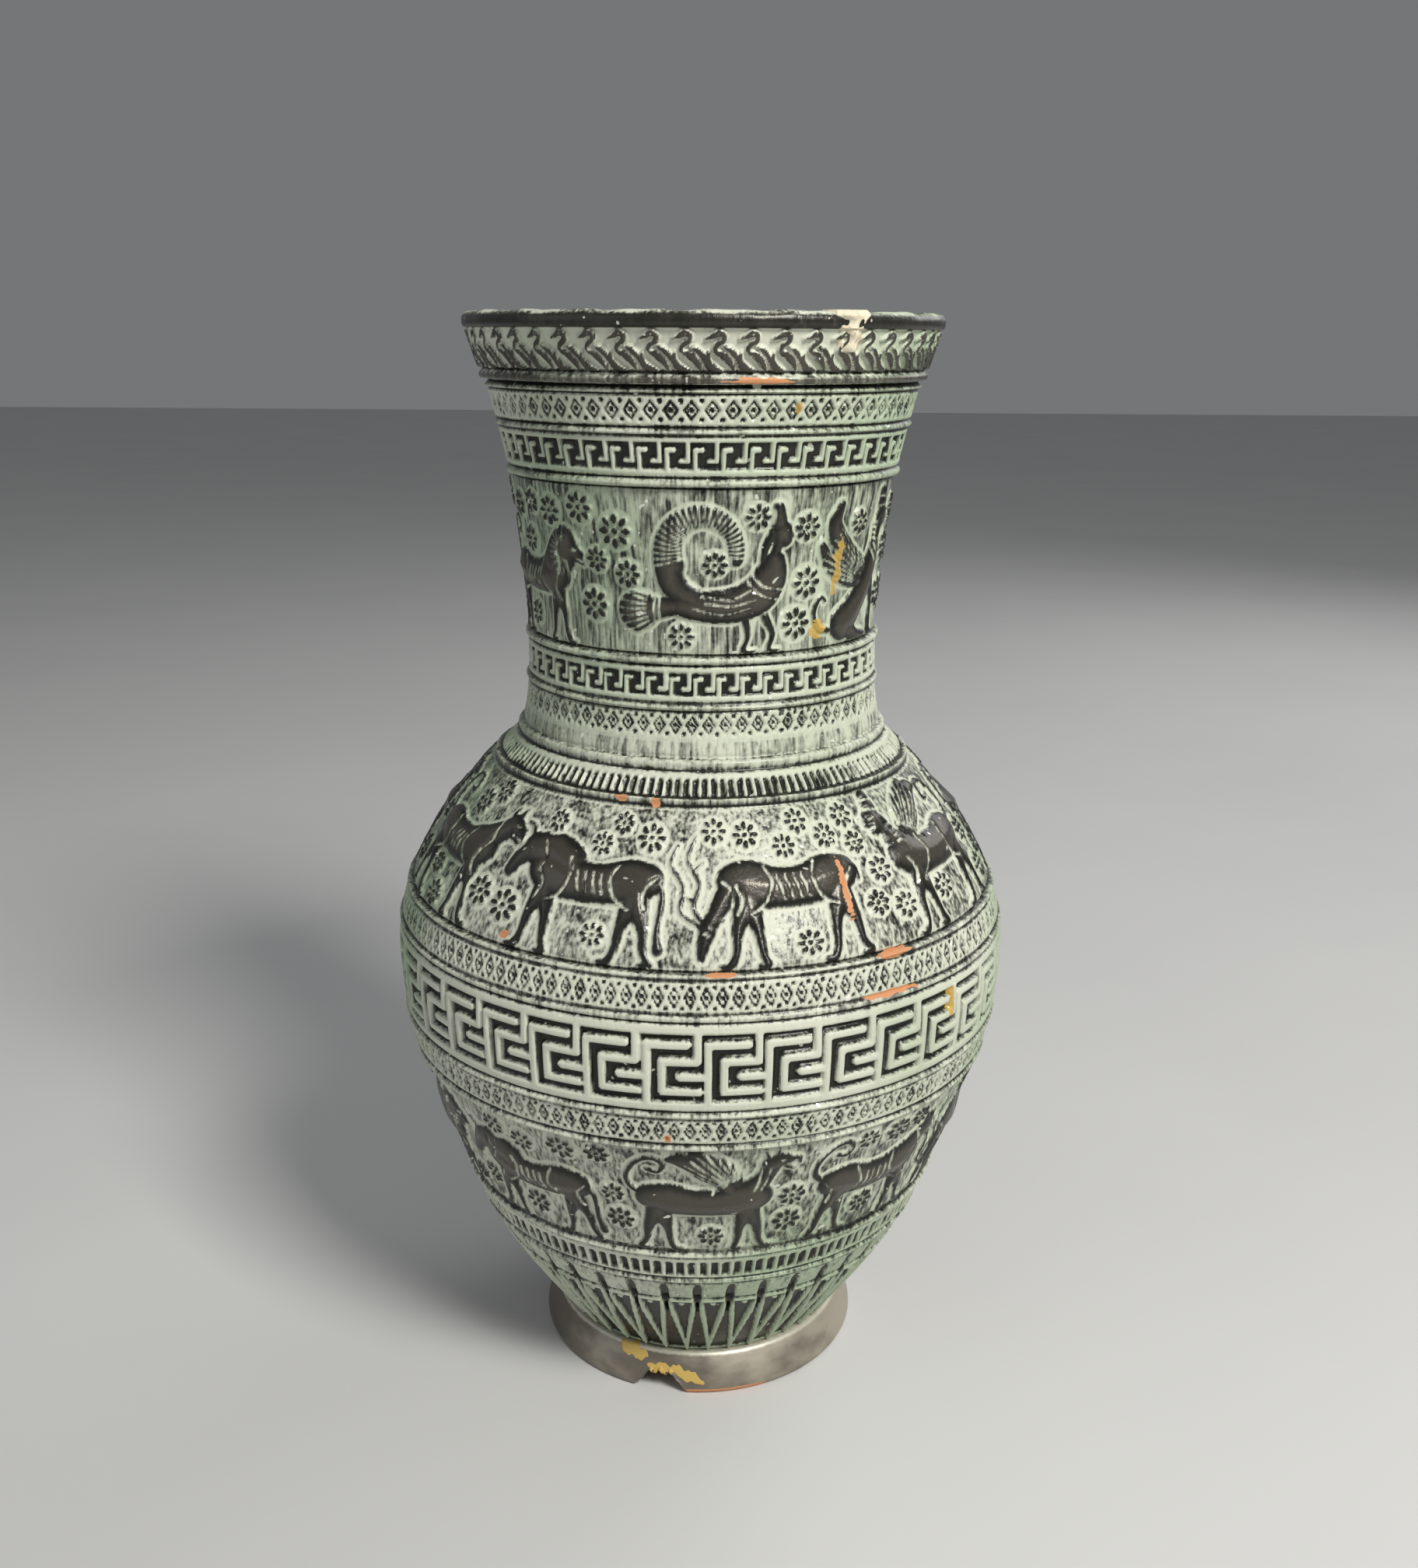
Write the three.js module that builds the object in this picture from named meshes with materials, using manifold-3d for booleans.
// Relief-moulded terracotta vase: a wide flaring neck on an ovoid body and a low flaring foot.
// It is modelled as the potter builds it, from sections that are thrown or pressed one by one and
// luted together at the raised ridges, plus the filler of a later repair in the rim.
// Millimetres, +Z up, origin at the middle of the foot's standing face, +Y away from the viewer.

import * as THREE from "three";
import { mergeVertices } from "three/addons/utils/BufferGeometryUtils.js";
import Module from "manifold-3d";

const wasm = await Module();
wasm.setup();

// Driving dimensions
const VASE_HEIGHT = 299;
const WALL = 5.5;
const SLIP_GAP = 0.3;
const SEGMENTS = 48;
const FLOOR_Z = 19;
const FLOOR_RADIUS = 30;
const FOOT_TOP_Z = 11;
const FOOT_BOTTOM_RADIUS = 47.4;
const FOOT_TOP_RADIUS = 43.2;
const FOOT_WALL = 8;
const FOOT_EDGE = 1.2;
const RIDGE_HEIGHT = 0.9;
const RIDGE_HALF_WIDTH = 1.0;
const LIP_BOTTOM_Z = 295;
const LIP_RADIUS = 63.3;

// Heights where one section is luted to the next, each hidden behind a ridge
const JOINT_BOWL_TOP = 51;
const JOINT_LOWER_TOP = 100;
const JOINT_BELLY_TOP = 145.6;
const JOINT_SHOULDER_TOP = 187.5;
const JOINT_COLLAR_TOP = 203.6;
const JOINT_NECK_TOP = 259.4;

// Outline of the body without its ridges, as [height, radius]
const OUTLINE = [
  [FOOT_TOP_Z, 41.6], [18, 46.4], [25, 51.2], [36, 58.2], [51, 66.6], [70, 73.2],
  [88, 79.1], [104, 84.6], [124, 86.8], [138, 85.7], [150, 81.5], [164, 72.6],
  [177, 62.3], [188, 51.8], [194, 49.4], [204, 48.3], [225, 48.2], [245, 50.2],
  [262, 52.8], [280, 57.1], [291, 60.6], [VASE_HEIGHT, 63.3],
];

// Raised ridges that run round the vase, as heights
const RIDGES = [60.9, 109.9, 215.5, 271.6, 281.0];
const CORD_RIDGE = 283.6;
const STEP_RIDGE = 189.8;

// The chip in the standing edge of the foot, front left of the middle
const FOOT_CHIP = { angle: -104, width: 14, height: 6.5 };

// The break in the rim, front right, and the filler that closes it
const RIM_BREAK = { angle: -57.5, topWidth: 9.6, bottomWidth: 4.6, bottomZ: 290.2 };

const radians = THREE.MathUtils.degToRad;

const outlineCurve = new THREE.SplineCurve(OUTLINE.map(([z, r]) => new THREE.Vector2(r, z)));
const OUTLINE_SAMPLES = outlineCurve.getPoints(OUTLINE.length * 8);

// Radius of the plain outline at a height
function outlineRadius(z) {
  for (let i = 1; i < OUTLINE_SAMPLES.length; i += 1) {
    const low = OUTLINE_SAMPLES[i - 1];
    const high = OUTLINE_SAMPLES[i];
    if (z <= high.y) {
      return THREE.MathUtils.mapLinear(z, low.y, high.y, low.x, high.x);
    }
  }
  return OUTLINE_SAMPLES.at(-1).x;
}

// Heights from bottom to top, no more than a step apart
function heightsBetween(bottom, top, step) {
  const count = Math.max(1, Math.round((top - bottom) / step));
  return Array.from({ length: count + 1 }, (_, i) => THREE.MathUtils.lerp(bottom, top, i / count));
}

// Outer points of a section, with the ridges that lie within it
function outerPoints(bottom, top, step) {
  const ridges = [...RIDGES, CORD_RIDGE, STEP_RIDGE].filter((z) => z > bottom && z < top);
  const plain = heightsBetween(bottom, top, step).filter(
    (z) => ridges.every((ridge) => Math.abs(z - ridge) > RIDGE_HALF_WIDTH * 1.3) || z === bottom || z === top,
  );
  const points = plain.map((z) => new THREE.Vector2(outlineRadius(z), z));
  for (const ridge of ridges) {
    const radius = outlineRadius(ridge);
    points.push(new THREE.Vector2(outlineRadius(ridge - RIDGE_HALF_WIDTH), ridge - RIDGE_HALF_WIDTH));
    points.push(new THREE.Vector2(radius + RIDGE_HEIGHT, ridge));
    points.push(new THREE.Vector2(outlineRadius(ridge + RIDGE_HALF_WIDTH), ridge + RIDGE_HALF_WIDTH));
  }
  return points.sort((a, b) => a.y - b.y);
}

// Inner points of a section, from its top down to its bottom
function innerPoints(bottom, top, step) {
  return heightsBetween(bottom, top, step)
    .reverse()
    .map((z) => new THREE.Vector2(outlineRadius(z) - WALL, z));
}

function lathe(points) {
  const geometry = new THREE.LatheGeometry(points, SEGMENTS);
  geometry.rotateX(Math.PI / 2);
  return geometry;
}

function closedLathe(points) {
  return lathe([...points, points[0].clone()]);
}

function toSolid(geometry) {
  const bare = geometry.clone();
  bare.deleteAttribute("normal");
  bare.deleteAttribute("uv");
  const merged = mergeVertices(bare, 1e-4);
  const solid = new wasm.Manifold(
    new wasm.Mesh({
      numProp: 3,
      vertProperties: new Float32Array(merged.attributes.position.array),
      triVerts: new Uint32Array(merged.index.array),
    }),
  );
  return solid;
}

function toGeometry(solid) {
  const mesh = solid.getMesh();
  const geometry = new THREE.BufferGeometry();
  geometry.setAttribute("position", new THREE.BufferAttribute(new Float32Array(mesh.vertProperties), 3));
  geometry.setIndex(new THREE.BufferAttribute(new Uint32Array(mesh.triVerts), 1));
  geometry.computeVertexNormals();
  return geometry;
}

// A ring section of the wall between two joints
function wallSection(bottom, top, outerStep, innerStep) {
  const low = bottom + SLIP_GAP / 2;
  const high = top - SLIP_GAP / 2;
  return closedLathe([...outerPoints(low, high, outerStep), ...innerPoints(low, high, innerStep)]);
}

// Lowest section: closed by the floor, which the foot carries
function bowl() {
  const low = FOOT_TOP_Z + SLIP_GAP;
  const high = JOINT_BOWL_TOP - SLIP_GAP / 2;
  const inner = innerPoints(FLOOR_Z + 6, high, 9);
  return lathe([
    new THREE.Vector2(0, low),
    ...outerPoints(low, high, 5),
    ...inner,
    new THREE.Vector2(FLOOR_RADIUS, FLOOR_Z),
    new THREE.Vector2(0, FLOOR_Z),
  ]);
}

// Flaring foot with a hollow underside and a standing edge eased at both corners
function foot() {
  const top = FOOT_TOP_Z;
  const innerBottom = FOOT_BOTTOM_RADIUS - FOOT_WALL;
  return closedLathe([
    new THREE.Vector2(innerBottom, 0),
    new THREE.Vector2(FOOT_BOTTOM_RADIUS - FOOT_EDGE, 0),
    new THREE.Vector2(FOOT_BOTTOM_RADIUS, FOOT_EDGE),
    new THREE.Vector2(FOOT_BOTTOM_RADIUS - 0.4, 4),
    new THREE.Vector2(FOOT_BOTTOM_RADIUS - 1.9, 7.6),
    new THREE.Vector2(FOOT_TOP_RADIUS, top),
    new THREE.Vector2(FOOT_TOP_RADIUS - FOOT_WALL - 2, top),
    new THREE.Vector2(innerBottom - 3, 6),
  ]);
}

// A cutter that points outwards from the axis, its outline drawn across and up
function radialCutter(outline, angle, near, far) {
  const shape = new THREE.Shape(outline.map(([across, up]) => new THREE.Vector2(across, up)));
  const geometry = new THREE.ExtrudeGeometry(shape, { depth: far - near, bevelEnabled: false });
  geometry.rotateX(Math.PI / 2);
  geometry.rotateZ(Math.PI);
  geometry.translate(0, near, 0);
  geometry.rotateZ(radians(angle - 90));
  return geometry;
}

// Ragged arch that is missing from the foot's standing edge
function footChipOutline() {
  const { width, height } = FOOT_CHIP;
  return [
    [-width / 2, -2], [width / 2, -2], [width * 0.42, height * 0.35], [width * 0.2, height * 0.85],
    [0, height], [-width * 0.18, height * 0.92], [-width * 0.4, height * 0.4],
  ];
}

// Outline of the break in the rim, drawn in by a margin where the filler needs its gap
function rimBreakOutline(margin) {
  const top = RIM_BREAK.topWidth / 2 - margin;
  const bottom = RIM_BREAK.bottomWidth / 2 - margin;
  const low = RIM_BREAK.bottomZ + margin;
  return [
    [-bottom, low], [bottom, low], [top * 0.9, low + 3.2], [top, VASE_HEIGHT + 1],
    [-top, VASE_HEIGHT + 1], [-top * 0.94, low + 4.2],
  ];
}

function mouthShape() {
  const low = JOINT_NECK_TOP + SLIP_GAP / 2;
  const outer = outerPoints(low, LIP_BOTTOM_Z, 5);
  const lipInner = LIP_RADIUS - WALL;
  const lip = [
    [LIP_RADIUS - 0.3, LIP_BOTTOM_Z + 0.7], [LIP_RADIUS, 296.9], [LIP_RADIUS - 0.8, 298.4],
    [LIP_RADIUS - 2.2, VASE_HEIGHT], [lipInner + 1, VASE_HEIGHT], [lipInner - 0.6, 297.8],
  ].map(([r, z]) => new THREE.Vector2(r, z));
  return closedLathe([...outer, ...lip, ...innerPoints(low, LIP_BOTTOM_Z, 9)]);
}

const near = 40;
const far = 80;

function mouth() {
  const cutter = toSolid(radialCutter(rimBreakOutline(0), RIM_BREAK.angle, near, far));
  return toGeometry(toSolid(mouthShape()).subtract(cutter));
}

function rimFilling() {
  const plug = toSolid(radialCutter(rimBreakOutline(SLIP_GAP), RIM_BREAK.angle, near, far));
  return toGeometry(toSolid(mouthShape()).intersect(plug));
}

function chippedFoot() {
  const cutter = toSolid(radialCutter(footChipOutline(), FOOT_CHIP.angle, 34, 60));
  return toGeometry(toSolid(foot()).subtract(cutter));
}

const vase = new THREE.Group();

function addPiece(name, geometry, colour, roughness, metalness) {
  const material = new THREE.MeshStandardMaterial({ color: colour, roughness, metalness });
  const mesh = new THREE.Mesh(geometry, material);
  mesh.name = name;
  vase.add(mesh);
}

const WASH = "#9ea597";
const DARK_WASH = "#5d625a";
const PEWTER = "#746c5f";
const FILLER = "#d3c6a6";

addPiece("foot_ring", chippedFoot(), PEWTER, 0.4, 0.2);
addPiece("bowl_with_floor", bowl(), DARK_WASH, 0.6, 0.05);
addPiece("lower_frieze_wall", wallSection(JOINT_BOWL_TOP, JOINT_LOWER_TOP, 8, 16), WASH, 0.6, 0.05);
addPiece("belly_band_wall", wallSection(JOINT_LOWER_TOP, JOINT_BELLY_TOP, 8, 15), WASH, 0.6, 0.05);
addPiece("shoulder_wall", wallSection(JOINT_BELLY_TOP, JOINT_SHOULDER_TOP, 7, 10), WASH, 0.6, 0.05);
addPiece("stepped_collar", wallSection(JOINT_SHOULDER_TOP, JOINT_COLLAR_TOP, 4, 8), DARK_WASH, 0.5, 0.1);
addPiece("neck_wall", wallSection(JOINT_COLLAR_TOP, JOINT_NECK_TOP, 11, 18), WASH, 0.6, 0.05);
addPiece("flaring_mouth", mouth(), WASH, 0.6, 0.05);
addPiece("rim_filling", rimFilling(), FILLER, 0.9, 0);

export default vase;
